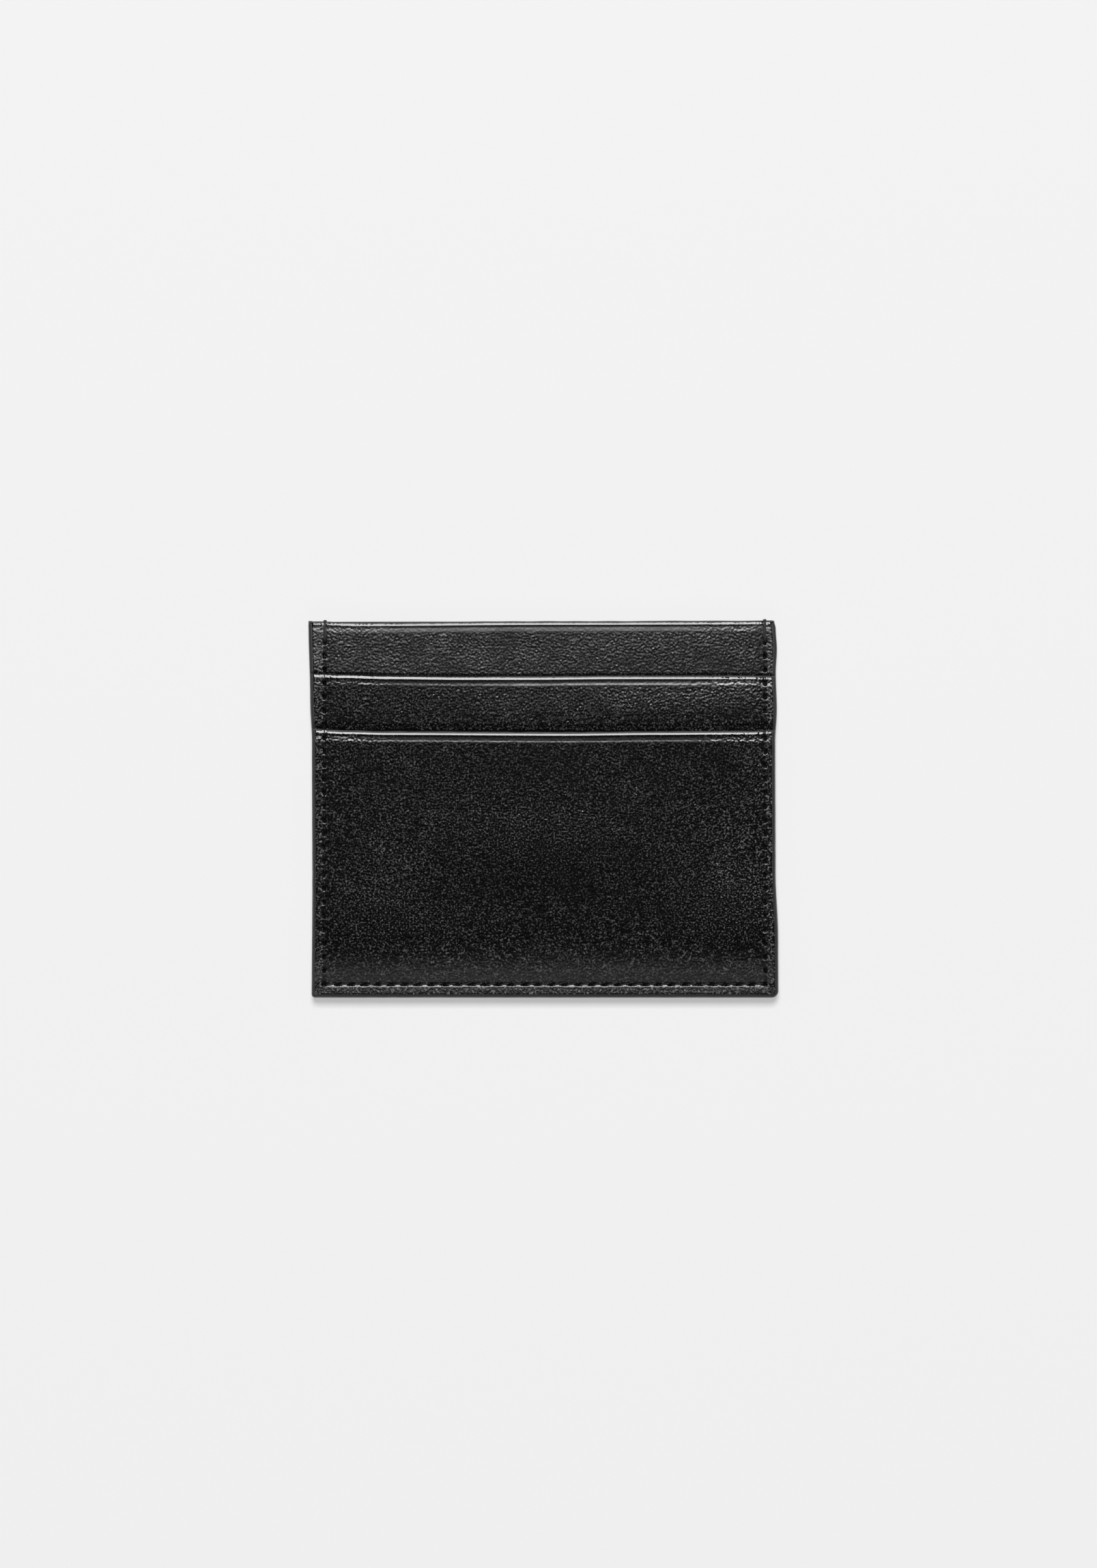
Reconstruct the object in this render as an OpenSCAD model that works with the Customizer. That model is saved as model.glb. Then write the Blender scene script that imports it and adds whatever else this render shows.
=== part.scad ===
// Slim leather card holder: five card slots between two stitched faces.
// It lies on its back face. X runs along the width, +Y points at the slot mouths, +Z out of the front face.
// Each face is a stack of three leather pieces, counted outwards from the middle of the holder:
// lining, panel, middle pocket, outer pocket. The back face is the front face mirrored in Z.

/* [Overall] */
// Width across the painted edges
holder_w = 100; // [96:0.5:110]
// Height from the painted bottom edge to the painted top edge
holder_h = 81; // [80:0.5:90]
// Distance between one slot mouth and the next
tier_step = 12; // [11.5:0.5:12.5]
// Radius of the two bottom corners
corner_r = 1.5; // [1:0.1:2]

/* [Leather] */
// Thickness of the outer pocket leather
outer_t = 0.85; // [0.75:0.05:1.2]
// Thickness of the middle pocket leather where it shows
middle_t = 0.75; // [0.7:0.05:1]
// Thickness of the middle pocket leather where it is skived, behind the outer pocket
middle_skived_t = 0.4; // [0.35:0.05:0.6]
// Thickness of the panel leather where it shows
panel_t = 0.95; // [0.9:0.05:1.2]
// Thickness of the panel leather where it is skived, behind the middle pocket
panel_skived_t = 0.8; // [0.7:0.05:0.9]
// Thickness of the textile lining bonded behind each panel
lining_t = 0.3; // [0.2:0.05:0.5]
// Length over which skived leather comes up to its full thickness above a mouth
skive_len = 1.5; // [1:0.1:1.5]

/* [Slots] */
// Clearance inside an empty slot
slot_gap = 0.2; // [0.1:0.02:0.24]
// Width of the closed margin at each side of a slot
slot_margin = 3.6; // [3.3:0.1:5]
// Depth of the middle slot, from its mouth to the seam that stops the card
middle_slot_depth = 55.5; // [54.5:0.5:58]

/* [Painted edges] */
// Height of the domed paint on the left, bottom and right edges
paint_t = 0.35; // [0.2:0.05:0.5]
// Height of the rounded paint on a mouth's edge
mouth_paint_t = 0.2; // [0.15:0.01:0.25]

/* [Stitching] */
// Distance of the side seams from the painted edges
seam_side_inset = 2.5; // [2.2:0.1:2.7]
// Distance of the bottom seam from the painted edge
seam_bottom_inset = 2.8; // [2.2:0.1:3]
// Distance of the first needle hole from the top edge
first_hole = 4.5; // [4.4:0.1:4.6]
// Number of stitches along the bottom
bottom_stitches = 33; // [28:1:40]
// Diameter of the seam thread
thread_d = 0.45; // [0.35:0.05:0.5]
// Diameter of a needle hole in the perimeter seam
needle_hole_d = 0.7; // [0.6:0.05:0.8]
// Number of stitches in the seam that stops the card in a middle slot
stop_stitches = 30; // [20:1:36]
// Diameter of the fine thread in that seam
stop_thread_d = 0.22; // [0.15:0.01:0.24]

/* [Hidden] */

leather_color = "#1d1d1f";
lining_color = "#2b2b30";
paint_color = "#36363a";
thread_color = "#111113";

// Heights above the middle plane of the holder at which each layer starts.
panel_w = lining_t;
middle_w = panel_w + panel_skived_t;
outer_w = middle_w + middle_skived_t;
// Heights of the three visible surfaces above the middle plane.
outer_face = outer_w + outer_t;
middle_face = middle_w + middle_t;
panel_face = panel_w + panel_t;
mid_z = outer_face;

// The loops of thread stand this far above the top edge.
loop_clearance = 0.2;
loop_rise = loop_clearance + thread_d / 2;
bottom_y = -(holder_h + loop_rise) / 2;
top_y = bottom_y + holder_h;
middle_mouth_y = top_y - tier_step;
outer_mouth_y = middle_mouth_y - tier_step;
stop_y = middle_mouth_y - middle_slot_depth;
leather_r = corner_r - paint_t;
slot_half_w = holder_w / 2 - slot_margin;
slot_bottom_y = bottom_y + seam_bottom_inset + 0.8;
through = 3 * mid_z;

// Number of stitches down each side: with this one, no needle hole meets a painted mouth.
side_stitches = 25;

// Needle holes of the perimeter seam: down the left side, along the bottom, up the right side.
seam_x = holder_w / 2 - seam_side_inset;
seam_y = bottom_y + seam_bottom_inset;
first_y = top_y - first_hole;
side_pitch = (first_y - seam_y) / side_stitches;
bottom_pitch = 2 * seam_x / bottom_stitches;
side_ys = [for (i = [0 : side_stitches]) first_y - i * side_pitch];
bottom_xs = [for (i = [0 : bottom_stitches]) -seam_x + i * bottom_pitch];
thread_sink = 0.25;
leg_d = thread_d - 0.05;
stitch_end_gap = 0.1;
groove_w = 1.1;
groove_depth = 0.5;
strand_offset = thread_d / 2 + 0.02;

// Seam that stops the card in a middle slot.
stop_half_w = seam_x - 1.6;
stop_pitch = 2 * stop_half_w / stop_stitches;
stop_xs = [for (i = [0 : stop_stitches]) -stop_half_w + i * stop_pitch];
stop_hole_d = stop_thread_d + 0.14;
stop_leg_d = stop_thread_d - 0.02;
stop_groove_w = stop_thread_d + 0.1;
stop_groove_depth = stop_thread_d + 0.02;

// ---- Placing the two faces ----

module front() {
    translate([0, 0, mid_z]) children();
}

module back() {
    translate([0, 0, mid_z]) mirror([0, 0, 1]) children();
}

// ---- Shared shapes, in face coordinates: Z counts outwards from the middle plane ----

// Outline of the leather up to end_y, square at the top and rounded at the two bottom corners.
module leather_outline(end_y) {
    x = holder_w / 2 - paint_t;
    y = bottom_y + paint_t;
    translate([-x, y + leather_r]) square([2 * x, end_y - y - leather_r]);
    translate([-x + leather_r, y]) square([2 * (x - leather_r), leather_r]);
    for (side = [-1, 1])
        translate([side * (x - leather_r), y + leather_r]) circle(leather_r, $fn = 48);
}

// Flat sheet with the leather outline, from height w to height w + t.
module sheet(end_y, w, t) {
    translate([0, 0, w]) linear_extrude(t) leather_outline(end_y);
}

// Sheet that is skived to thin_t below mouth_y and rises to full_t above it.
module skived_sheet(end_y, w, thin_t, full_t, mouth_y) {
    intersection() {
        sheet(end_y, w, full_t);
        translate([-holder_w / 2, 0, 0]) rotate([90, 0, 90]) linear_extrude(holder_w) polygon([
            [bottom_y, w], [end_y, w], [end_y, w + full_t],
            [mouth_y + skive_len, w + full_t], [mouth_y, w + thin_t], [bottom_y, w + thin_t]
        ]);
    }
}

// Shallow relief that leaves room for a card between two sheets, open at the mouth.
module slot_relief(from_y, to_y, w, depth) {
    translate([-slot_half_w, from_y, w]) cube([2 * slot_half_w, to_y - from_y, depth]);
}

// Rod from point a to point b.
module rod(a, b, d) {
    v = b - a;
    translate(a)
        rotate([0, acos(v.z / norm(v)), atan2(v.y, v.x)])
            cylinder(h = norm(v), d = d, $fn = 24);
}

// Rounded bead along the edge of a mouth, which covers heights w_low to w_high.
module mouth_bead(mouth_y, w_low, w_high) {
    half = (w_high - w_low) / 2;
    bead_r = (half * half + mouth_paint_t * mouth_paint_t) / (2 * mouth_paint_t);
    x = holder_w / 2 - paint_t;
    translate([-x, mouth_y - mouth_paint_t, w_low + half]) rotate([90, 0, 90]) linear_extrude(2 * x)
        intersection() {
            translate([mouth_paint_t - bead_r, 0]) circle(bead_r, $fn = 96);
            translate([0, -half]) square([mouth_paint_t, 2 * half]);
        }
}

// Section of the domed perimeter paint; u = 0 is the cut leather edge.
module dome_section(half, u) {
    dome_r = (half * half + paint_t * paint_t) / (2 * paint_t);
    intersection() {
        translate([u + paint_t - dome_r, 0]) circle(dome_r, $fn = 128);
        translate([u, -half]) square([paint_t, 2 * half]);
    }
}

// ---- Perimeter seam ----

function face_at(y) = y < outer_mouth_y ? outer_face : y < middle_mouth_y ? middle_face : panel_face;

function thread_at(x, y) = [x, y, face_at(y) - thread_sink];

module perimeter_needle_holes() {
    for (side = [-1, 1], y = side_ys)
        translate([side * seam_x, y, -through / 2]) cylinder(h = through, d = needle_hole_d, $fn = 24);
    for (i = [1 : bottom_stitches - 1])
        translate([bottom_xs[i], seam_y, -through / 2]) cylinder(h = through, d = needle_hole_d, $fn = 24);
}

// Groove that sinks the side seams into a surface at height face, from from_y to to_y.
module side_grooves(from_y, to_y, face) {
    for (side = [-1, 1])
        translate([side * seam_x - groove_w / 2, from_y, face - groove_depth])
            cube([groove_w, to_y - from_y, 2 * groove_depth]);
}

module bottom_groove() {
    translate([-seam_x - groove_w / 2, seam_y - groove_w / 2, outer_face - groove_depth])
        cube([2 * seam_x + groove_w, groove_w, 2 * groove_depth]);
}

// One stitch on the surface, between two needle holes.
module stitch(a, b) {
    dir = (b - a) / norm(b - a);
    rod(a + stitch_end_gap * dir, b - stitch_end_gap * dir, thread_d);
}

// A stitch that steps over the edge of a pocket mouth; upper is above the mouth and lower is on the pocket.
module stepping_stitch(upper, lower, mouth_y) {
    knee = [lower.x, mouth_y + 0.45, lower.z];
    rod(upper - [0, stitch_end_gap, 0], knee, leg_d);
    rod(knee + [0, 0.12, 0], lower + [0, stitch_end_gap, 0], thread_d);
}

module side_stitch(x, i) {
    upper = thread_at(x, side_ys[i]);
    lower = thread_at(x, side_ys[i + 1]);
    if (upper.z == lower.z) stitch(upper, lower);
    else stepping_stitch(upper, lower, upper.y > middle_mouth_y ? middle_mouth_y : outer_mouth_y);
}

// The leg goes down a needle hole and meets the other face's thread in the middle of the stack.
module leg(x, y) {
    translate([x, y, 0]) cylinder(h = face_at(y) - thread_sink + 0.1, d = leg_d, $fn = 24);
}

module seam_thread() {
    for (side = [-1, 1]) {
        for (i = [0 : side_stitches - 1]) side_stitch(side * seam_x, i);
        for (y = side_ys) leg(side * seam_x, y);
    }
    for (i = [0 : bottom_stitches - 1])
        stitch([bottom_xs[i], seam_y, outer_face - thread_sink],
               [bottom_xs[i + 1], seam_y, outer_face - thread_sink]);
    for (i = [1 : bottom_stitches - 1]) leg(bottom_xs[i], seam_y);
}

// Two strands side by side, from the first needle hole over the top edge to the other face.
module edge_loops(side) {
    w = panel_face - thread_sink;
    start_y = first_y + thread_d;
    over_y = top_y + loop_clearance;
    for (strand = [-1, 1]) {
        x = side * seam_x + strand * strand_offset;
        for (face = [-1, 1]) rod([x, start_y, face * w], [x, over_y, face * w], thread_d);
        rod([x, over_y, -w], [x, over_y, w], thread_d - 0.02);
        for (face = [-1, 1]) translate([x, over_y, face * w]) sphere(d = thread_d + 0.01, $fn = 24);
    }
}

// ---- Seam that stops the card in a middle slot ----

module stop_needle_holes() {
    for (x = stop_xs) translate([x, stop_y, panel_w - 0.1]) cylinder(h = 2, d = stop_hole_d, $fn = 24);
}

// Fine groove along the stop seam, centred on height w.
module stop_groove(w) {
    translate([-stop_half_w - stop_groove_w, stop_y - stop_groove_w / 2, w - stop_groove_depth])
        cube([2 * (stop_half_w + stop_groove_w), stop_groove_w, 2 * stop_groove_depth]);
}

module stop_thread() {
    low_w = panel_w + stop_thread_d / 2 + 0.01;
    high_w = outer_w - stop_thread_d / 2 - 0.01;
    for (i = [0 : stop_stitches - 1], w = [low_w, high_w])
        rod([stop_xs[i] + 0.05, stop_y, w], [stop_xs[i + 1] - 0.05, stop_y, w], stop_thread_d);
    for (x = stop_xs) rod([x, stop_y, low_w - 0.05], [x, stop_y, high_w + 0.05], stop_leg_d);
}

// ---- Pieces of one face ----

module outer_pocket() {
    color(leather_color) difference() {
        sheet(outer_mouth_y - mouth_paint_t, outer_w, outer_t);
        slot_relief(slot_bottom_y, top_y, outer_w - 0.1, slot_gap + 0.1);
        side_grooves(seam_y - groove_w / 2, top_y, outer_face);
        bottom_groove();
        perimeter_needle_holes();
    }
}

module outer_mouth_paint() {
    color(paint_color) difference() {
        mouth_bead(outer_mouth_y, outer_w + slot_gap, outer_face);
        side_grooves(seam_y, top_y, outer_face);
    }
}

module middle_pocket() {
    color(leather_color) difference() {
        skived_sheet(middle_mouth_y - mouth_paint_t, middle_w, middle_skived_t, middle_t, outer_mouth_y);
        side_grooves(outer_mouth_y + skive_len / 2, top_y, middle_face);
        perimeter_needle_holes();
        stop_groove(outer_w);
        stop_needle_holes();
    }
}

module middle_mouth_paint() {
    color(paint_color) difference() {
        mouth_bead(middle_mouth_y, middle_w, middle_face);
        side_grooves(outer_mouth_y, top_y, middle_face);
    }
}

module card_stop_stitches() {
    color(thread_color) stop_thread();
}

module panel() {
    color(leather_color) difference() {
        skived_sheet(top_y - mouth_paint_t, panel_w, panel_skived_t, panel_t, middle_mouth_y);
        slot_relief(stop_y + 0.8, middle_mouth_y, middle_w - slot_gap, slot_gap + 0.1);
        side_grooves(middle_mouth_y + skive_len / 2, top_y, panel_face);
        perimeter_needle_holes();
        stop_groove(panel_w);
        stop_needle_holes();
    }
}

module panel_mouth_paint() {
    color(paint_color) difference() {
        mouth_bead(top_y, slot_gap / 2, panel_face);
        side_grooves(middle_mouth_y, top_y + 1, panel_face);
    }
}

module panel_lining() {
    color(lining_color) difference() {
        sheet(top_y - mouth_paint_t, 0, lining_t);
        slot_relief(slot_bottom_y, top_y, -0.1, slot_gap / 2 + 0.1);
        perimeter_needle_holes();
    }
}

// ---- Pieces that join the two faces ----

// Straight paint along both side edges, from from_y to to_y, over a stack of half-thickness half.
module side_dome(from_y, to_y, half) {
    for (side = [0, 1]) mirror([side, 0, 0])
        translate([0, to_y, mid_z]) rotate([90, 0, 0]) linear_extrude(to_y - from_y)
            dome_section(half, holder_w / 2 - paint_t);
}

module bottom_dome() {
    x = holder_w / 2 - corner_r;
    translate([x, 0, mid_z]) rotate([90, 0, -90]) linear_extrude(2 * x)
        dome_section(outer_face, -bottom_y - paint_t);
}

module corner_domes() {
    for (side = [0, 1]) mirror([side, 0, 0])
        translate([holder_w / 2 - corner_r, bottom_y + corner_r, mid_z]) rotate([0, 0, -90])
            rotate_extrude(angle = 90, $fn = 96) dome_section(outer_face, leather_r);
}

module perimeter_edge_paint() {
    color(paint_color) {
        side_dome(bottom_y + corner_r, outer_mouth_y, outer_face);
        side_dome(outer_mouth_y, middle_mouth_y, middle_face);
        side_dome(middle_mouth_y, top_y, panel_face);
        bottom_dome();
        corner_domes();
    }
}

module needle_thread() {
    color(thread_color) front() seam_thread();
}

module bobbin_thread() {
    color(thread_color) back() seam_thread();
}

module left_edge_loops() {
    color(thread_color) front() edge_loops(-1);
}

module right_edge_loops() {
    color(thread_color) front() edge_loops(1);
}

front() outer_pocket();  // front_outer_pocket
front() outer_mouth_paint();  // front_outer_mouth_paint
front() middle_pocket();  // front_middle_pocket
front() middle_mouth_paint();  // front_middle_mouth_paint
front() card_stop_stitches();  // front_card_stop_stitches
front() panel();  // front_panel
front() panel_mouth_paint();  // front_panel_mouth_paint
front() panel_lining();  // front_panel_lining
back() outer_pocket();  // back_outer_pocket
back() outer_mouth_paint();  // back_outer_mouth_paint
back() middle_pocket();  // back_middle_pocket
back() middle_mouth_paint();  // back_middle_mouth_paint
back() card_stop_stitches();  // back_card_stop_stitches
back() panel();  // back_panel
back() panel_mouth_paint();  // back_panel_mouth_paint
back() panel_lining();  // back_panel_lining
perimeter_edge_paint();
needle_thread();
bobbin_thread();
left_edge_loops();
right_edge_loops();
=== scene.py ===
"""Looks of the card holder: leather, edge paint, thread and lining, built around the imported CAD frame."""

import math

import bpy
import numpy as np
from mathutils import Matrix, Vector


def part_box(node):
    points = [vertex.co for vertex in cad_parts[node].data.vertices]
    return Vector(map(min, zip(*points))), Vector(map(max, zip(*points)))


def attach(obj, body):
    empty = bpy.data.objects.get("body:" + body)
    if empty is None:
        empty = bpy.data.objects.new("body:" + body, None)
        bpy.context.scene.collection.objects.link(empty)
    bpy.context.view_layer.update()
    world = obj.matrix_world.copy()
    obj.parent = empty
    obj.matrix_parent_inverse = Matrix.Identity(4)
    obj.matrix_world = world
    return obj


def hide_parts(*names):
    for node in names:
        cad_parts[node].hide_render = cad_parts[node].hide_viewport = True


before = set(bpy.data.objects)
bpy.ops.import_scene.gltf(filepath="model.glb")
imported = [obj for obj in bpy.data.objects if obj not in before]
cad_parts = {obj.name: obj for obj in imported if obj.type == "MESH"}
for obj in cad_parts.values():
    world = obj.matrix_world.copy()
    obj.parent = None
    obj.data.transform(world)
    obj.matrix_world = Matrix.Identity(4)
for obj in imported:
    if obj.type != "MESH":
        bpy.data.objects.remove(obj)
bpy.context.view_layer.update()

# ---- Sizes, in millimetres; the mesh helpers turn them into metres ----

MM = 0.001


def box_mm(node):
    low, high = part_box(node)
    return np.array(low) / MM, np.array(high) / MM


THREAD_D = 0.45
LEG_R = 0.2  # of the thread inside a needle hole
(_, BOTTOM_Y, PAINT_LOW_Z), (HALF_W, TOP_Y, PAINT_HIGH_Z) = box_mm("perimeter_edge_paint")
MID_Z = (PAINT_LOW_Z + PAINT_HIGH_Z) / 2
OUTER_MOUTH_Y = box_mm("front_outer_mouth_paint")[1][1]
MIDDLE_MOUTH_Y = box_mm("front_middle_mouth_paint")[1][1]
SLOT_GAP = box_mm("front_outer_mouth_paint")[0][2] - box_mm("front_outer_pocket")[0][2]
SEAM_X = box_mm("needle_thread")[1][0] - THREAD_D / 2
SEAM_Y = box_mm("needle_thread")[0][1] + THREAD_D / 2
FIRST_HOLE_Y = box_mm("needle_thread")[1][1] - LEG_R
SIDE_STITCHES = 25
BOTTOM_STITCHES = 33
SIDE_PITCH = (FIRST_HOLE_Y - SEAM_Y) / SIDE_STITCHES
BOTTOM_PITCH = 2 * SEAM_X / BOTTOM_STITCHES

# Heights of each leather layer above the middle plane of the holder: (inner side, visible face).
LAYERS = {}
for layer_name in ("panel", "middle_pocket", "outer_pocket"):
    low, high = box_mm("front_" + layer_name)
    LAYERS[layer_name] = (low[2] - MID_Z, high[2] - MID_Z)
LINING_T = box_mm("front_panel_lining")[1][2] - MID_Z

CORNER_R = {-1: 0.8, 1: 1.5}  # bottom corners: left and right
PAINT_LIP = 0.75  # from the painted outline in to the leather's edge
LEATHER_ROUND = 0.3  # rounding of the leather's side and bottom edges
SKIVE_LEN = {"panel": 0.5, "middle_pocket": 1.7}  # over which the leather thins out below the next mouth
CREASE_END = 2.4  # lower side of the creased line, from the mouth
TIER_SHOWN = 12.0  # how much of a tier shows above the next mouth
SHEEN_REACH = 10.5  # of the rubbed leather above the bottom seam
EDGE_Y = BOTTOM_Y - 0.2  # the painted bottom edge as finished by hand


def smoothstep(low, high, t):
    u = np.clip((np.asarray(t, float) - low) / (high - low), 0, 1)
    return u * u * (3 - 2 * u)


def smooth_curve(*points):
    """A smooth function through given (position, value) points."""
    at, value = np.array(points, float).T

    def curve(t):
        t = np.clip(np.asarray(t, float), at[0], at[-1])
        i = np.clip(np.searchsorted(at, t) - 1, 0, len(at) - 2)
        return value[i] + (value[i + 1] - value[i]) * smoothstep(0, 1, (t - at[i]) / (at[i + 1] - at[i]))

    return curve


# How far the hand-finished outline strays from straight, outwards at the sides and up at the mouths.
SIDE_SWAY = {
    -1: smooth_curve((EDGE_Y, 0.33), (-17, 0.18), (OUTER_MOUTH_Y - 2, 0.28), (OUTER_MOUTH_Y + 7, 0.66),
                     (TOP_Y, 1.06)),
    1: smooth_curve((EDGE_Y, 0.43), (-28, 0.38), (-14, -0.17), (OUTER_MOUTH_Y - 2, -0.24),
                    (OUTER_MOUTH_Y + 5, 0.1), (MIDDLE_MOUTH_Y + 1, -0.1), (MIDDLE_MOUTH_Y + 6, 0.14),
                    (TOP_Y - 1.5, -0.1), (TOP_Y, -0.4)),
}
MOUTH_SWAY = {
    "outer_pocket": smooth_curve((-50, 0.8), (-43, 0.47), (-34, 0.28), (5, 0.1), (24, 0.28), (43, 0.37),
                                 (50, 0.5)),
    "middle_pocket": smooth_curve((-50, 0.7), (-43, 0.53), (-34, 0.3), (-18, 0.15), (-4, 0.17), (16, 0.33),
                                  (43, 0.34), (50, 0.22)),
    "panel": smooth_curve((-50, 0.05), (-40, -0.2), (0, 0.06), (40, 0.15), (50, 0.22)),
}
MOUTH_Y = {"outer_pocket": OUTER_MOUTH_Y, "middle_pocket": MIDDLE_MOUTH_Y, "panel": TOP_Y}


def mouth_y(layer, x):
    return MOUTH_Y[layer] + MOUTH_SWAY[layer](x)


def side_x(side, y):
    """The painted outline at height y, on the left (-1) or right (1), with its rounded bottom corner."""
    r = CORNER_R[side]
    up = np.clip(np.asarray(y, float) - EDGE_Y, 0, r)
    corner = r - np.sqrt(np.maximum(r * r - (r - up) ** 2, 0))
    return side * (HALF_W + SIDE_SWAY[side](y) - corner)


def ripple(x, y, wavelength, seed, stretch=1.0, angle=0.0, waves=7):
    """Seeded sum of plane waves, about -1 to 1. stretch above 1 draws the waves out along angle."""
    rng = np.random.default_rng(seed)
    total = np.zeros(np.broadcast(x, y).shape)
    for _ in range(waves):
        way = rng.uniform(0, 2 * math.pi)
        length = wavelength * rng.uniform(0.7, 1.4)
        kx, ky = math.cos(way) / stretch, math.sin(way)
        k = 2 * math.pi / length
        along = x * math.cos(angle) + y * math.sin(angle)
        across = -x * math.sin(angle) + y * math.cos(angle)
        total += np.sin(k * (kx * along + ky * across) + rng.uniform(0, 2 * math.pi))
    return total / math.sqrt(waves)


# ---- Height of the leather ----

# Slope in degrees against the distance below a mouth: a rounded edge and a polished bevel on every layer,
# then a shallow dip and the long near side of a creased line, which differ from layer to layer.
MOUTH_EDGE = [(0.0, 75), (0.1, 60), (0.2, 22), (0.28, 14), (0.7, 11)]
CREASE_SLOPE = {
    "outer_pocket": [(0.86, 1), (1.0, -3), (1.15, 0.5), (1.4, 3.4), (1.75, 3.6), (2.1, 6.7), (2.28, 6),
                     (2.44, 0)],
    "middle_pocket": [(0.84, 1), (0.98, -3), (1.12, 0), (1.9, 4.6), (2.44, 0)],
    "panel": [(0.84, 0.5), (1.0, -1.5), (1.5, 3.0), (2.1, 2.6), (2.44, 0)],
}
MOUTH_STEPS = np.linspace(0, 2.5, 251)
MOUTH_RISE = {}
for layer_name, crease in CREASE_SLOPE.items():
    slope = smooth_curve(*MOUTH_EDGE, *crease)
    climb = np.tan(np.radians(slope(MOUTH_STEPS[:-1] + 0.005))) * 0.01
    MOUTH_RISE[layer_name] = np.concatenate([[0], np.cumsum(climb)]) - climb.sum()


def mouth_profile(layer, d):
    """Relief of a burnished mouth edge, d millimetres below it."""
    return np.interp(d, MOUTH_STEPS, MOUTH_RISE[layer])


# Depth of the groove along the bottom seam, as a share, against the distance above the seam.
BOTTOM_GROOVE = smooth_curve((-0.62, 0), (-0.04, 1), (0.3, 1), (14, 0))


def seam_relief(x, y):
    """Pull-down along the perimeter seam, pits at the needle holes, and lumps below those at the sides."""
    in_sides = smoothstep(SEAM_Y - 0.6, SEAM_Y, y)
    in_bottom = smoothstep(SEAM_X + 0.6, SEAM_X, np.abs(x))
    across_side = np.abs(np.abs(x) - SEAM_X)
    across_bottom = np.abs(y - SEAM_Y)
    wide = 0.05 * np.maximum(in_sides * np.exp(-(across_side / 1.5) ** 2),
                             in_bottom * np.exp(-(across_bottom / 1.5) ** 2))
    tight = np.maximum(0.03 * in_sides * np.exp(-(across_side / 0.4) ** 2),
                       0.12 * in_bottom * BOTTOM_GROOVE(y - SEAM_Y))
    side_phase = (FIRST_HOLE_Y - y) / SIDE_PITCH
    side_off = (side_phase - np.round(side_phase)) * SIDE_PITCH
    side_ok = in_sides * (side_phase > -0.4)
    bottom_phase = (x + SEAM_X) / BOTTOM_PITCH
    bottom_off = (bottom_phase - np.round(bottom_phase)) * BOTTOM_PITCH
    at_side = (across_side / 0.27) ** 2 + (side_off / 0.46) ** 2
    at_bottom = (across_bottom / 0.19) ** 2 + (bottom_off / 0.5) ** 2
    pits = 0.8 * np.maximum(side_ok * np.exp(-at_side ** 2), in_bottom * np.exp(-at_bottom ** 1.5))
    rims = np.maximum(0.05 * side_ok * np.exp(-at_side / 2.6), 0.06 * in_bottom * np.exp(-at_bottom / 2.6))
    lump = np.exp(-(across_side / 0.4) ** 2 - ((side_off - 0.78) / 0.42) ** 2)
    return side_ok * (0.1 + 0.03 * ripple(x, y, 5, 51)) * lump - wide - tight - pits - rims


# Broad swellings of the front leather over what is behind it: (x, y, half length, half width, height).
SWELLS = {
    "outer_pocket": [(0, -7, 20, 7, 0.1), (-33, -25, 11, 8, 0.09), (40, -23, 11, 8, 0.12),
                     (-10, 6, 16, 5, 0.03), (12, -34, 22, 4, 0.04)],
    "middle_pocket": [(28, 21, 16, 4, 0.05), (-4, 20, 8, 4, 0.025)],
    "panel": [(20, 35, 14, 5, 0.03)],
}


# Slope by which the middle pocket leans at its mouth, beyond the slope that it shares with the panel.
LEAN = smooth_curve((-50, -0.036), (-25, -0.018), (0, 0.002), (30, 0.007), (50, 0.015))


def swell(layer, x, y):
    rise = sum(high * np.exp(-((x - cx) / length) ** 2 - ((y - cy) / width) ** 2)
               for cx, cy, length, width, high in SWELLS[layer])
    if layer == "middle_pocket":
        up = np.maximum(y - OUTER_MOUTH_Y, 0)
        creases = ripple(x, y, 1.1, 14, stretch=4, angle=0.9)
        rise = rise - LEAN(x) * up ** 2 / (2 * (MIDDLE_MOUTH_Y - OUTER_MOUTH_Y))
        rise = rise + 0.008 * creases * np.exp(-((x - 44.5) / 3) ** 2 - ((y - 22) / 3) ** 2)
    return rise


def face_height(layer, x, y, front):
    """Height of a layer's visible face above the middle plane, without seam and side edge."""
    inner, face = LAYERS[layer]
    h = face + mouth_profile(layer, mouth_y(layer, x) - y)
    if layer != "outer_pocket":
        below = {"panel": "middle_pocket", "middle_pocket": "outer_pocket"}[layer]
        hidden = LAYERS[below][0]
        rise = smoothstep(0.0, SKIVE_LEN[layer], y - mouth_y(below, x))
        h = hidden - 0.03 + (h - hidden + 0.03) * rise
    if front:
        h = h + swell(layer, x, y) + 0.004 * ripple(x, y, 7, 12)
    if layer == "outer_pocket":
        h = h + 0.004 * (1 - smoothstep(3, 9, y - SEAM_Y)) * ripple(x, y, 1.3, 13, stretch=5)
    return h


def leather_height(layer, x, y, front):
    """Height of a layer's visible face with its seam and its rounded side and bottom edges."""
    h = face_height(layer, x, y, front) + seam_relief(x, y)
    inset = np.minimum(x - side_x(-1, y), side_x(1, y) - x)
    inset = np.minimum(inset, y - EDGE_Y) - PAINT_LIP
    t = np.clip(1 - inset / LEATHER_ROUND, 0, 0.98)
    return h - 0.16 * (1 - np.sqrt(1 - t * t))


def visible_height(x, y, front):
    """Height of whichever layer shows at (x, y)."""
    h = face_height("panel", x, y, front)
    h = np.where(y < mouth_y("middle_pocket", x), face_height("middle_pocket", x, y, front), h)
    return np.where(y < mouth_y("outer_pocket", x), face_height("outer_pocket", x, y, front), h)


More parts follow.
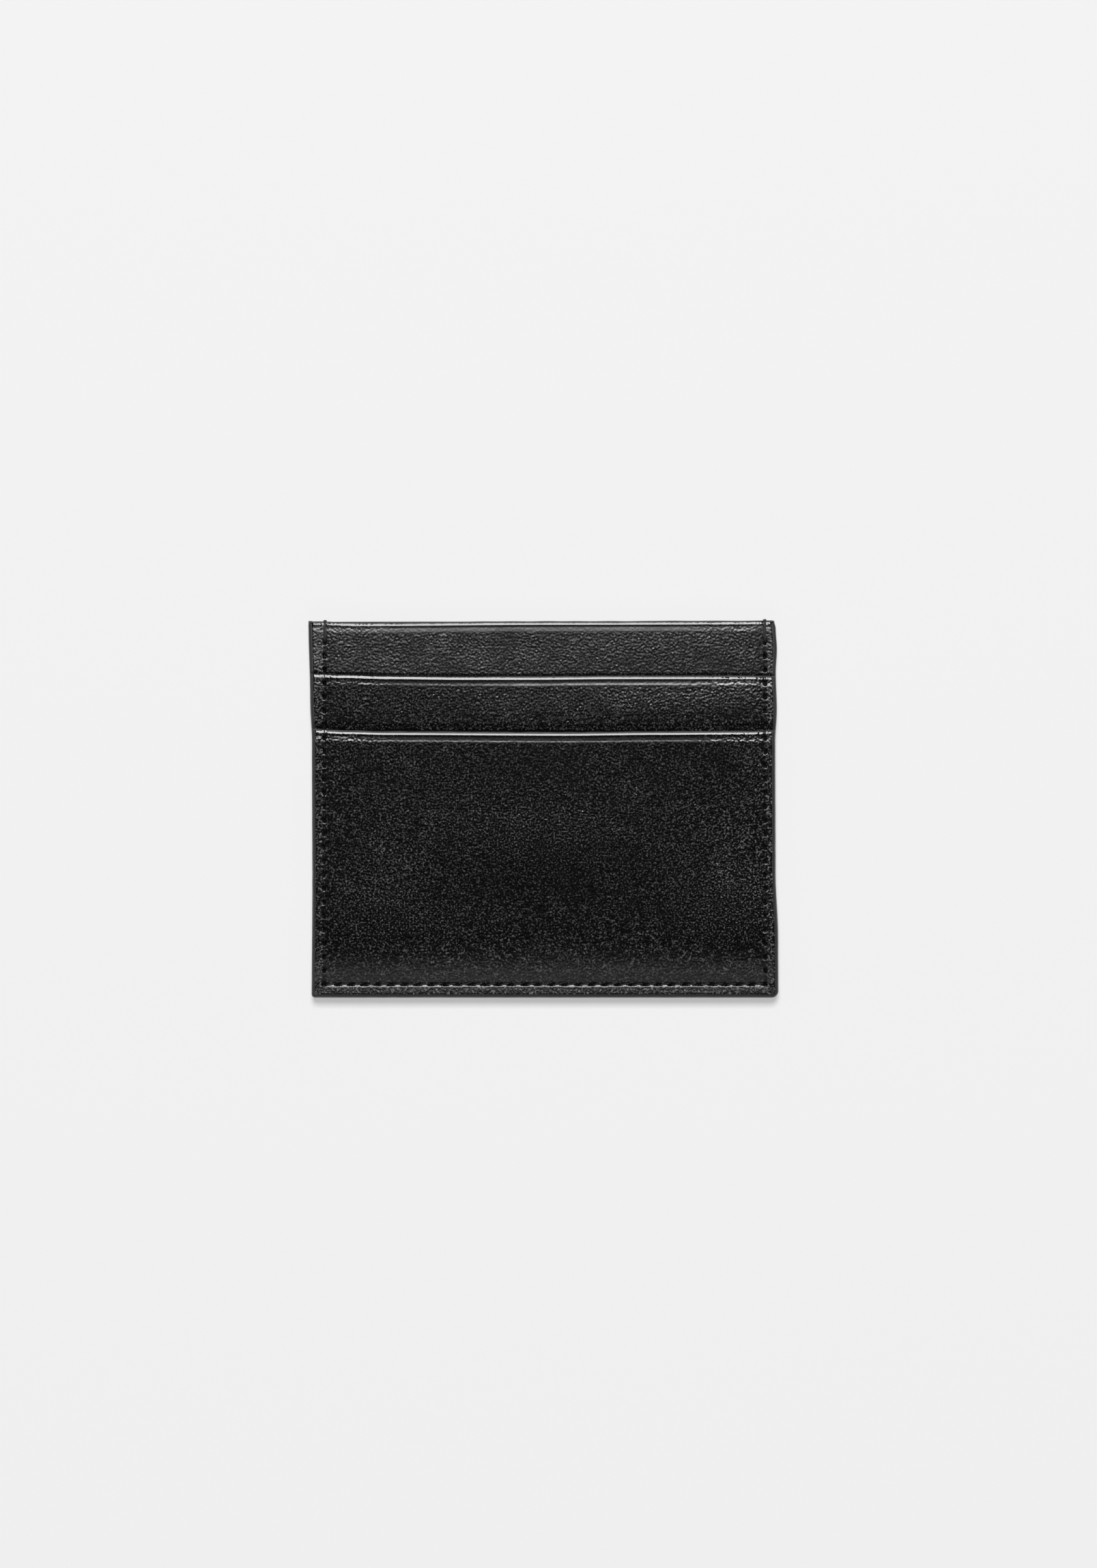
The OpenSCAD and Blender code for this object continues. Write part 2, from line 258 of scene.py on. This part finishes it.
def sheen(y):
    """1 just above the bottom seam, where the leather is rubbed, falling to 0 at SHEEN_REACH above it."""
    up = y - SEAM_Y
    return smoothstep(0.1, 0.6, up) * np.clip(1 - (up - 1.2) / (SHEEN_REACH - 1.2), 0, 1) ** 2


# Patches of the outer pocket where the pebbles stand out more or less, with more or fewer painted glints,
# so that they read lighter or darker:
# (x, y, half length, half width, change).
GRAIN_AND_GLINT_PATCHES = [(-34, -16, 9, 13, 0.45), (42, -14, 10, 12, 0.9), (-4, -2, 20, 5, 0.3),
                 (4, -17, 18, 5, -0.35), (0, 9, 10, 5, -0.3), (30, 12, 10, 4, -0.2), (47, 8, 4, 8, 0.4),
                 (-16, -31, 12, 4, 0.2)]


def beyond_seam(x, y):
    """1 in the margins outside the seams."""
    return np.maximum(smoothstep(SEAM_X + 0.2, SEAM_X + 0.5, np.abs(x)),
                      smoothstep(SEAM_Y - 0.2, SEAM_Y - 0.5, y))


def grain_and_glints(layer, x, y):
    """How far the pebbles stand out and how many painted glints show: pressed at a mouth and by the side
    stitches, coarser in the margins, where the painted glints make the leather paler.
    """
    g = 1 + 0.12 * ripple(x, y, 11, 21)
    if layer == "outer_pocket":
        for cx, cy, length, width, change in GRAIN_AND_GLINT_PATCHES:
            g = g + change * np.exp(-((x - cx) / length) ** 2 - ((y - cy) / width) ** 2)
        g = g * (1 - 0.35 * sheen(y))
    if layer == "panel":
        g = g * 0.85
    d = mouth_y(layer, x) - y
    pressed = 1 - smoothstep(CREASE_END - 0.1, CREASE_END + 0.15, d)
    at_mouth = (0.8 - 0.7 * smoothstep(28, 43, np.abs(x))) * pressed
    at_stitch = 0.5 * np.exp(-((np.abs(x) - SEAM_X) / 0.3) ** 2) * smoothstep(SEAM_Y - 0.5, SEAM_Y, y)
    return (g + 1.0 * beyond_seam(x, y)) * (1 - at_mouth) * (1 - at_stitch)


def wear(layer, x, y):
    """How dull the leather is: 1 where it is rubbed above the bottom seam, below 0 on polished bevels."""
    d = mouth_y(layer, x) - y
    worn = -0.25 * (1 - smoothstep(0.8, 1.1, d)) + 0.12 * beyond_seam(x, y)
    worn = worn + 0.5 * smoothstep(-0.3, -0.8, y - SEAM_Y)
    worn = worn + 0.25 * np.exp(-((np.abs(x) - SEAM_X) / 0.5) ** 2)
    return worn + {"outer_pocket": sheen(y), "middle_pocket": 0.0, "panel": 0.1}[layer]


# ---- Mesh helpers ----

# Slope in degrees by which the thin top of the holder droops towards what it lies on.
DROOP_SLOPE = smooth_curve((OUTER_MOUTH_Y, 0.1), (OUTER_MOUTH_Y + 9.5, 1.85), (OUTER_MOUTH_Y + 13.5, 1.92),
                           (TOP_Y + 1, 1.95))
DROOP_AT = np.linspace(OUTER_MOUTH_Y, TOP_Y + 1, 400)
DROOP = np.cumsum(np.tan(np.radians(DROOP_SLOPE(DROOP_AT)))) * (DROOP_AT[1] - DROOP_AT[0])


def place(x, y, w, front):
    """Points in metres from face coordinates, with the droop of the holder's top."""
    z = MID_Z + (w if front else -np.asarray(w)) - np.interp(y, DROOP_AT, DROOP)
    return np.stack(np.broadcast_arrays(x, y, z), -1) * MM


def new_object(name, points, faces, material, replaced, sharp_deg=50):
    mesh = bpy.data.meshes.new(name)
    mesh.from_pydata(np.asarray(points).reshape(-1, 3).tolist(), [], faces)
    mesh.validate()
    mesh.shade_smooth()
    mesh.set_sharp_from_angle(angle=math.radians(sharp_deg))
    mesh.materials.append(material)
    piece = bpy.data.objects.new(name, mesh)
    bpy.context.scene.collection.objects.link(piece)
    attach(piece, "root")
    if replaced:
        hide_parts(*replaced)
    return piece


def grid_faces(rows, cols):
    i, j = np.meshgrid(np.arange(rows - 1), np.arange(cols - 1), indexing="ij")
    a = (i * cols + j).ravel()
    return np.stack([a, a + 1, a + cols + 1, a + cols], 1).tolist()


def sheet_solid(x, y, top, bottom, front):
    """Points and faces of a closed sheet: a fine top grid, walls, and an underside of one strip a row."""
    rows, cols = x.shape
    points = [place(x, y, top, front).reshape(-1, 3)]
    ring = [(0, j) for j in range(cols)] + [(i, cols - 1) for i in range(1, rows)]
    ring += [(rows - 1, j) for j in range(cols - 2, -1, -1)] + [(i, 0) for i in range(rows - 2, 0, -1)]
    ri, rj = np.array(ring).T
    points.append(place(x[ri, rj], y[ri, rj], bottom, front))
    upper = (ri * cols + rj).tolist()
    lower = {cell: rows * cols + k for k, cell in enumerate(ring)}
    under = [lower[cell] for cell in ring]
    n = len(ring)
    faces = grid_faces(rows, cols)
    faces += [[upper[k], under[k], under[(k + 1) % n], upper[(k + 1) % n]] for k in range(n)]
    last = cols - 1
    faces.append([lower[0, j] for j in range(last, -1, -1)] + [lower[1, 0], lower[1, last]])
    for i in range(1, rows - 2):
        faces.append([lower[i, last], lower[i, 0], lower[i + 1, 0], lower[i + 1, last]])
    faces.append([lower[rows - 2, last], lower[rows - 2, 0]] + [lower[rows - 1, j] for j in range(cols)])
    if not front:
        faces = [face[::-1] for face in faces]
    return np.concatenate(points), faces


def spaced(*runs):
    """Positions from (start, end, step) runs, joined end to end."""
    parts = [np.linspace(a, b, max(2, round(abs(b - a) / step) + 1))[:-1] for a, b, step in runs]
    return np.concatenate(parts + [[runs[-1][1]]])


def loft(rings):
    """Faces of a tube through rings of points, shaped (rings, points, 3), with closed ends."""
    n, m = rings.shape[:2]
    faces = [[i * m + j, i * m + (j + 1) % m, (i + 1) * m + (j + 1) % m, (i + 1) * m + j]
             for i in range(n - 1) for j in range(m)]
    return faces + [list(range(m - 1, -1, -1)), [(n - 1) * m + j for j in range(m)]]


# ---- Materials ----

class Nodes:
    """A short way to build a shader's node tree."""

    def __init__(self, name):
        self.material = bpy.data.materials.new(name)
        self.material.use_nodes = True
        self.tree = self.material.node_tree
        self.shader = self.tree.nodes["Principled BSDF"]
        self.object_co = self.add("ShaderNodeTexCoord").outputs["Object"]

    def add(self, kind, inputs=(), **settings):
        node = self.tree.nodes.new(kind)
        for key, value in settings.items():
            setattr(node, key, value)
        for socket, source in dict(inputs).items():
            self.set(node.inputs[socket], source)
        return node

    def set(self, socket, source):
        if isinstance(source, bpy.types.NodeSocket):
            self.tree.links.new(source, socket)
        else:
            socket.default_value = source

    def math(self, operation, a, b=0.0):
        """a and b combined; SINE takes only a."""
        node = self.add("ShaderNodeMath", operation=operation)
        self.set(node.inputs[0], a)
        self.set(node.inputs[1], b)
        return node.outputs[0]

    def noise(self, scale, detail=2.0):
        return self.add("ShaderNodeTexNoise", {
            "Vector": self.object_co, "Scale": scale, "Detail": detail,
        }).outputs["Fac"]

    def remap(self, value, low, high, to_low=0.0, to_high=1.0):
        return self.add("ShaderNodeMapRange", {
            "Value": value, "From Min": low, "From Max": high, "To Min": to_low, "To Max": to_high,
        }).outputs["Result"]

    def blend(self, factor, a, b):
        node = self.add("ShaderNodeMix", data_type="RGBA")
        self.set(node.inputs[0], factor)
        self.set(node.inputs[6], (*a, 1))
        self.set(node.inputs[7], (*b, 1))
        return node.outputs[2]

    def bump(self, height, distance, strength):
        return self.add("ShaderNodeBump", {
            "Height": height, "Distance": distance, "Strength": strength,
        }).outputs["Normal"]


def leather_material():
    """Black leather with fine pebbles, and pale specks in its colour that are painted glints.

    The grain attribute sets how far the pebbles stand up and how many painted glints show; the wear
    attribute how dull its gloss is.
    """
    m = Nodes("black_leather")
    grain_and_glint = m.add("ShaderNodeAttribute", attribute_name="grain_and_glints").outputs["Fac"]
    worn = m.add("ShaderNodeAttribute", attribute_name="wear").outputs["Fac"]
    fine = m.noise(1900.0, 0.0)
    pores = m.noise(6000.0, 1.0)
    height = m.math("ADD", m.math("MULTIPLY", fine, 50.0), m.math("MULTIPLY", pores, 3.0))
    m.set(m.shader.inputs["Normal"], m.bump(height, 0.000001, m.math("MINIMUM", grain_and_glint, 1.2)))
    patch = m.noise(120.0, 2.0)
    m.set(m.shader.inputs["Roughness"], m.math("ADD", m.remap(patch, 0.3, 0.7, 0.165, 0.18),
                                               m.math("MULTIPLY", worn, 0.29)))
    # Painted glints: pale specks mixed into the black base colour, more where the grain attribute is high,
    # standing in for the gloss of the pebbles catching the light.
    painted_glint = m.math("POWER", m.remap(m.noise(2700.0, 0.0), 0.5, 0.85), 1.5)
    m.set(m.shader.inputs["Base Color"], m.blend(m.math("MULTIPLY", m.math("MULTIPLY", painted_glint, grain_and_glint), 0.4),
                                                 (0.0005, 0.0005, 0.0006), (0.4, 0.4, 0.405)))
    return m.material


def paint_material():
    """Satin edge paint, with the slight unevenness that a brush leaves."""
    m = Nodes("edge_paint")
    brushed = m.noise(420.0, 3.0)
    fine = m.noise(3500.0, 2.0)
    height = m.math("ADD", brushed, m.math("MULTIPLY", fine, 0.18))
    m.set(m.shader.inputs["Normal"], m.bump(height, 0.00008, 0.6))
    m.set(m.shader.inputs["Roughness"], m.remap(brushed, 0.3, 0.7, 0.38, 0.5))
    m.set(m.shader.inputs["Base Color"], m.blend(fine, (0.035, 0.035, 0.036), (0.055, 0.055, 0.057)))
    return m.material


def thread_material(name, dark, light):
    """Waxed thread; its plies are in the mesh and its fibres are fine noise."""
    m = Nodes(name)
    fibres = m.noise(9000.0, 3.0)
    m.set(m.shader.inputs["Normal"], m.bump(fibres, 0.00003, 0.8))
    m.set(m.shader.inputs["Roughness"], m.remap(fibres, 0.3, 0.7, 0.42, 0.6))
    m.set(m.shader.inputs["Base Color"], m.blend(fibres, dark, light))
    return m.material


def lining_material():
    """Fine plain-weave textile: warp and weft ribs that pass over each other in turn."""
    m = Nodes("lining_weave")
    threads = 2200.0
    split = m.add("ShaderNodeSeparateXYZ", {"Vector": m.object_co})
    across = m.math("SINE", m.math("MULTIPLY", split.outputs["X"], threads * math.pi))
    along = m.math("SINE", m.math("MULTIPLY", split.outputs["Y"], threads * math.pi))
    over = m.math("MULTIPLY", across, along)
    height = m.math("ADD", m.math("MULTIPLY", over, 0.5), m.math("MULTIPLY", m.noise(6000.0, 2.0), 0.4))
    m.set(m.shader.inputs["Normal"], m.bump(height, 0.00008, 0.9))
    m.set(m.shader.inputs["Roughness"], m.remap(m.noise(400.0), 0.3, 0.7, 0.75, 0.88))
    m.set(m.shader.inputs["Base Color"], m.blend(m.remap(over, -1.0, 1.0), (0.012, 0.012, 0.014),
                                                 (0.035, 0.035, 0.038)))
    return m.material


def floor_material():
    """White table, lit a little from within so that its shadows stay soft."""
    m = Nodes("pale_floor")
    m.shader.inputs["Emission Color"].default_value = (1, 1, 1, 1)
    m.shader.inputs["Emission Strength"].default_value = 0.42
    m.shader.inputs["Base Color"].default_value = (0.8, 0.8, 0.8, 1)
    m.shader.inputs["Roughness"].default_value = 1.0
    m.shader.inputs["Specular IOR Level"].default_value = 0.0
    return m.material


LEATHER = leather_material()
PAINT = paint_material()
THREAD = thread_material("black_thread", (0.002, 0.002, 0.002), (0.012, 0.011, 0.01))
# The loops over the top edge get a lighter, browner copy of the thread: partly the loops' own brownish
# tint, partly a painted highlight where they cross the lit top edge.
LOOP_THREAD_WITH_PAINTED_HIGHLIGHT = thread_material("brownish_thread_with_painted_highlight", (0.02, 0.018, 0.016), (0.06, 0.054, 0.05))
LINING = lining_material()


# ---- Leather pieces ----

def leather_rows(layer):
    """Distances of the rows below the mouth: fine at the crease, then a twelfth of a stitch.

    Where the next mouth hides the leather, the rows are only as close as its flat shape needs.
    """
    end = MOUTH_Y[layer] - EDGE_Y
    step = SIDE_PITCH / 12
    if layer == "outer_pocket":
        return spaced((0.12, 2.2, 0.06), (2.2, end - 4.6, step), (end - 4.6, end - PAINT_LIP, 0.15))
    return spaced((0.12, 2.2, 0.06), (2.2, TIER_SHOWN - 2.4, step),
                  (TIER_SHOWN - 2.4, TIER_SHOWN + 0.6, 0.12), (TIER_SHOWN + 0.6, end - PAINT_LIP, 2.5))


def leather_piece(layer, front):
    face = "front" if front else "back"
    inner = LAYERS[layer][0] + (SLOT_GAP if layer == "outer_pocket" else 0.01)
    below_mouth = leather_rows(layer)[::-1]
    flank = SEAM_X - 2.6
    across = spaced((-HALF_W, -flank, 0.15), (-flank, flank, BOTTOM_PITCH / 8), (flank, HALF_W, 0.15))
    d, u = np.meshgrid(below_mouth, across, indexing="ij")
    fade = smoothstep(0, 1, d / (MOUTH_Y[layer] - EDGE_Y))
    y = MOUTH_Y[layer] + MOUTH_SWAY[layer](u) * (1 - fade) - d
    left, right = side_x(-1, y) + PAINT_LIP, side_x(1, y) - PAINT_LIP
    x = np.where(u < 0, u * (-left / HALF_W), u * (right / HALF_W))
    points, faces = sheet_solid(x, y, leather_height(layer, x, y, front), inner, front)
    piece = new_object(f"{face}_{layer}_leather", points, faces, LEATHER, [f"{face}_{layer}"])
    # The grain attribute carries both the pebble relief and the painted glints; wear carries the gloss.
    for name, field in (("grain_and_glints", grain_and_glints), ("wear", wear)):
        value = np.zeros(len(points))
        value[:x.size] = field(layer, x, y).ravel()
        piece.data.attributes.new(name, "FLOAT", "POINT").data.foreach_set("value", value)
    return piece


def lining_piece(front):
    face = "front" if front else "back"
    u, v = np.meshgrid(np.linspace(-1, 1, 60), np.linspace(0, 1, 50), indexing="xy")
    top = mouth_y("panel", u * HALF_W) - 0.5
    y = BOTTOM_Y + 1.0 + v * (top - BOTTOM_Y - 1.0)
    x = np.where(u < 0, -u * (side_x(-1, y) + 1.0), u * (side_x(1, y) - 1.0))
    points, faces = sheet_solid(x, y, np.full(x.shape, LINING_T - 0.01), SLOT_GAP / 2, front)
    piece = new_object(f"{face}_lining_cloth", points, faces, LINING, [f"{face}_panel_lining"])
    return piece


# ---- Edge paint ----

def squircle(t, order):
    """Coordinate on a superellipse of that order, from t on the unit circle; order 2 is the circle."""
    return np.sign(t) * np.abs(t) ** (2 / order)


def mouth_paint(layer, front):
    """Rounded bead of paint along a mouth, which follows the mouth's own line."""
    face = "front" if front else "back"
    inner, outer = LAYERS[layer]
    low = SLOT_GAP / 2 if layer == "panel" else inner + (SLOT_GAP if layer == "outer_pocket" else 0.02)
    high = outer - 0.12
    x = np.linspace(side_x(-1, MOUTH_Y[layer] - 1) + 0.5, side_x(1, MOUTH_Y[layer] - 1) - 0.5, 260)
    angle = np.linspace(0, 2 * math.pi, 20, endpoint=False)
    reach, half = 0.34, (high - low) / 2
    out = reach * squircle(np.cos(angle), 2.6)
    out = np.where(out < 0, 0.25 * out, out)
    up = half * squircle(np.sin(angle), 2.6)
    unevenness = 1 + 0.1 * ripple(x, 0 * x, 5, 31 + len(layer))
    y = mouth_y(layer, x)[:, None] - reach + out[None, :] * unevenness[:, None]
    dent = 0.25 * np.exp(-((np.abs(x) - SEAM_X) / 0.5) ** 2)[:, None]
    w = (low + high) / 2 + up[None, :] - dent * np.maximum(up, 0)[None, :] / half
    rings = place(x[:, None], y, w, front)
    faces = loft(rings)
    if not front:
        faces = [ring_face[::-1] for ring_face in faces]
    name = f"{face}_{layer.replace('_pocket', '')}_mouth"
    return new_object(f"{name}_bead", rings, faces, PAINT, [f"{name}_paint"])


def outline_path():
    """Points of the painted outline with outward normals: down the left, along the bottom, up the right."""
    sides = []
    fine = 0.12
    rows = spaced((TOP_Y + 0.1, TOP_Y - 1.5, fine), (TOP_Y - 1.5, MIDDLE_MOUTH_Y + 1.8, 0.5),
                  (MIDDLE_MOUTH_Y + 1.8, MIDDLE_MOUTH_Y - 2.0, fine),
                  (MIDDLE_MOUTH_Y - 2.0, OUTER_MOUTH_Y + 1.8, 0.5),
                  (OUTER_MOUTH_Y + 1.8, OUTER_MOUTH_Y - 2.0, fine),
                  (OUTER_MOUTH_Y - 2.0, EDGE_Y + 1.6, 0.5))
    for side in (-1, 1):
        r = CORNER_R[side]
        flank = [(side * (HALF_W + float(SIDE_SWAY[side](y))), y, side, 0.0) for y in rows]
        edge = side * (HALF_W + float(SIDE_SWAY[side](EDGE_Y)) - r)
        turn = [(edge + side * r * math.cos(a), EDGE_Y + r - r * math.sin(a),
                 side * math.cos(a), -math.sin(a)) for a in np.linspace(0, math.pi / 2, 12)]
        sides.append(flank + turn)
    bottom = [(x, EDGE_Y, 0.0, -1.0) for x in np.linspace(-HALF_W + 2, HALF_W - 2, 200)]
    run = np.array(sides[0] + bottom + sides[1][::-1])
    return run[:, :2], run[:, 2:]


def perimeter_paint():
    """Domed paint over the cut edges, which steps with the thickness of the stack."""
    at, out = outline_path()
    turn = np.linspace(0, math.pi, 19)
    reach = PAINT_LIP + 0.12
    drawn = reach * np.abs(squircle(np.sin(turn), 2.7))
    rise = squircle(np.cos(turn), 2.7)
    inner = at - out * PAINT_LIP
    wave = 0.03 * ripple(at[:, 0], at[:, 1], 4, 41)
    rings = []
    for k, (point, normal) in enumerate(zip(at, out)):
        tip = min(1.0, 0.35 + 0.65 * (TOP_Y + 0.1 - point[1]) / 0.6) if point[1] > TOP_Y - 0.5 else 1.0
        up = float(visible_height(inner[k, 0], min(inner[k, 1], TOP_Y - 0.5), True)) - 0.07
        down = float(visible_height(inner[k, 0], min(inner[k, 1], TOP_Y - 0.5), False)) - 0.07
        w = np.where(rise > 0, rise * up, rise * down) * tip
        span = point - normal * (reach - 0.06 + wave[k]) + np.outer(drawn * (0.94 + wave[k]), normal)
        rings.append(place(span[:, 0], span[:, 1], w, True))
    rings = np.array(rings)
    return new_object("perimeter_paint_bead", rings, loft(rings), PAINT,
                      ["perimeter_edge_paint"])


# ---- Thread ----

# How far the stitches lie above the leather that they press into.
SIDE_LIE = -0.33
BOTTOM_LIE = -0.24


def twisted_tube(path, side_way, radius, plies=3, lay=1.1):
    """Rings of a twisted thread along path (in metres); side_way is a direction the path never runs in."""
    step = np.gradient(path, axis=0)
    step /= np.linalg.norm(step, axis=1)[:, None]
    first = np.cross(step, side_way)
    first /= np.linalg.norm(first, axis=1)[:, None]
    second = np.cross(step, first)
    run = np.concatenate([[0], np.cumsum(np.linalg.norm(np.diff(path, axis=0), axis=1))])
    around = np.linspace(0, 2 * math.pi, 15, endpoint=False)
    turn = around[None, :] + 0 * run[:, None]
    twist = 2 * math.pi * run[:, None] / (lay * MM)
    r = radius * MM * (0.8 + 0.2 * np.abs(np.cos(plies / 2 * (turn + twist))))
    return (path[:, None, :] + (r * np.cos(turn))[..., None] * first[:, None, :]
            + (r * np.sin(turn))[..., None] * second[:, None, :])


def add_tube(points, faces, rings):
    start = sum(len(p) for p in points)
    points.append(rings.reshape(-1, 3))
    faces += [[start + i for i in face] for face in loft(rings)]


def smoothed(values, weights):
    """Values blurred by an odd number of weights, with the ends held."""
    weights = np.array(weights) / np.sum(weights)
    return np.convolve(np.pad(values, len(weights) // 2, mode="edge"), weights, mode="valid")


def stitch_path(a, b, front, slant, lie):
    """From inside one needle hole, over the leather between, and down the next; lie is its height there."""
    s = np.linspace(0, 1, 27)
    length = np.linalg.norm(b - a)
    way = (b - a) / length
    off = np.array([-way[1], way[0]])
    along = 0.1 + s * (length - 0.2)
    from_end = np.minimum(along, length - along)
    sunk = -0.55 * (1 - smoothstep(0.08, 0.62, from_end)) + 0.07 * smoothstep(0.3, 1.0, from_end)
    xy = a + np.outer(along, way) + np.outer(slant * (s - 0.5), off)
    near = np.linspace(-0.28, 0.28, 7)
    surface = np.max([visible_height(xy[:, 0] + n * way[0], xy[:, 1] + n * way[1], front) for n in near], 0)
    surface = smoothed(surface, [1, 2, 3, 2, 1])
    return place(xy[:, 0], xy[:, 1], surface + lie + sunk, front)


def perimeter_stitches(front):
    """All stitches that show on one face: down both sides, then along the bottom."""
    points, faces = [], []
    rng = np.random.default_rng(5 if front else 6)
    hole_ys = FIRST_HOLE_Y - SIDE_PITCH * np.arange(SIDE_STITCHES + 1)
    hole_xs = -SEAM_X + BOTTOM_PITCH * np.arange(BOTTOM_STITCHES + 1)
    runs = [(SIDE_LIE, [np.array([side * SEAM_X, y]) for y in hole_ys]) for side in (-1, 1)]
    runs.append((BOTTOM_LIE, [np.array([x, SEAM_Y]) for x in hole_xs]))
    for lie, holes in runs:
        for a, b in zip(holes, holes[1:]):
            path = stitch_path(a, b, front, 0.3 + rng.uniform(-0.06, 0.06), lie)
            side_way = np.array([b[1] - a[1], a[0] - b[0], 0]) / np.linalg.norm(b - a)
            add_tube(points, faces, twisted_tube(path, side_way, THREAD_D / 2 - 0.02))
    node = "needle_thread" if front else "bobbin_thread"
    return new_object(f"{node}_stitches", np.concatenate(points), faces, THREAD, [node],
                      sharp_deg=80)


def edge_loops(side):
    """Two strands from the first needle hole on one face, over the top edge, to the hole on the other."""
    points, faces = [], []
    for strand in (-1, 1):
        x = side * SEAM_X + strand * 0.12
        top = float(mouth_y("panel", x)) + 0.14
        face = LAYERS["panel"][1]
        half = np.array([
            (FIRST_HOLE_Y + 0.1, face - 0.75), (FIRST_HOLE_Y + 0.35, face - 0.36),
            (FIRST_HOLE_Y + 0.8, face - 0.2), (FIRST_HOLE_Y + 2.2, face - 0.17), (top - 1.1, face - 0.22),
            (top - 0.45, face - 0.3), (top - 0.08, face - 0.55), (top, 0.25)])
        full = np.concatenate([half, (half * [1, -1])[::-1]])  # (y, height above the middle plane)
        t = np.concatenate([[0], np.cumsum(np.linalg.norm(np.diff(full, axis=0), axis=1))])
        fine = np.linspace(0, t[-1], 110)
        y = smoothed(np.interp(fine, t, full[:, 0]), [1] * 7)
        w = smoothed(np.interp(fine, t, full[:, 1]), [1] * 7)
        pinch = 0.05 * strand * np.sin(fine * 1.3 + strand)
        add_tube(points, faces, twisted_tube(place(x + pinch, y, w, True), np.array([1.0, 0, 0]),
                                             THREAD_D / 2 - 0.01))
    word = "left" if side < 0 else "right"
    return new_object(f"{word}_loop_strands", np.concatenate(points), faces, LOOP_THREAD_WITH_PAINTED_HIGHLIGHT,
                      [f"{word}_edge_loops"], sharp_deg=80)


# ---- Building ----

for is_front in (True, False):
    for layer_name in LAYERS:
        leather_piece(layer_name, is_front)
        mouth_paint(layer_name, is_front)
    lining_piece(is_front)
    perimeter_stitches(is_front)
perimeter_paint()
for loop_side in (-1, 1):
    edge_loops(loop_side)
for node_name in ("front_card_stop_stitches", "back_card_stop_stitches"):
    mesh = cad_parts[node_name].data
    mesh.materials.clear()
    mesh.materials.append(THREAD)

# ---- Floor, light and camera ----

FLOOR_HALF = 6.0
floor_mesh = bpy.data.meshes.new("floor")
floor_mesh.from_pydata([(-FLOOR_HALF, -FLOOR_HALF, 0), (FLOOR_HALF, -FLOOR_HALF, 0),
                        (FLOOR_HALF, FLOOR_HALF, 0), (-FLOOR_HALF, FLOOR_HALF, 0)], [], [(0, 1, 2, 3)])
floor_mesh.materials.append(floor_material())
floor = bpy.data.objects.new("floor", floor_mesh)
floor.location.z = -0.00003
bpy.context.scene.collection.objects.link(floor)


def area_light(name, azimuth, elevation, distance, size, power):
    """Square light aimed at the holder; azimuth 0 is +Y and 90 is +X, in degrees."""
    light = bpy.data.lights.new(name, "AREA")
    light.size = size
    light.energy = power
    lamp = bpy.data.objects.new(name, light)
    a, e = math.radians(azimuth), math.radians(elevation)
    lamp.location = (distance * math.cos(e) * math.sin(a), distance * math.cos(e) * math.cos(a),
                     distance * math.sin(e))
    lamp.rotation_euler = (math.pi / 2 - e, 0, math.pi - a)
    bpy.context.scene.collection.objects.link(lamp)
    return lamp


area_light("key", -2, 66, 4.0, 1.3, 88)
area_light("fill_low", 180, 38, 2.2, 1.0, 1.6)
area_light("fill_left", -90, 40, 2.2, 1.2, 1.0)
area_light("fill_right", 90, 40, 2.2, 1.2, 1.0)

world = bpy.data.worlds.new("studio")
world.use_nodes = True
world.node_tree.nodes["Background"].inputs["Color"].default_value = (1, 1, 1, 1)
world.node_tree.nodes["Background"].inputs["Strength"].default_value = 0.04
bpy.context.scene.world = world
bpy.context.scene.view_settings.view_transform = "Standard"

# The camera looks straight down; the frame is FRAME_H high at the front face.
FRAME_H = 0.3376
AIM = (0.0008, 0.0052)
LENS, SENSOR = 100.0, 36.0
camera_data = bpy.data.cameras.new("camera")
camera_data.lens = LENS
camera_data.sensor_fit = "VERTICAL"
camera_data.sensor_height = SENSOR
camera = bpy.data.objects.new("camera", camera_data)
camera.location = (*AIM, PAINT_HIGH_Z * MM + FRAME_H * LENS / SENSOR)
bpy.context.scene.collection.objects.link(camera)
bpy.context.scene.camera = camera
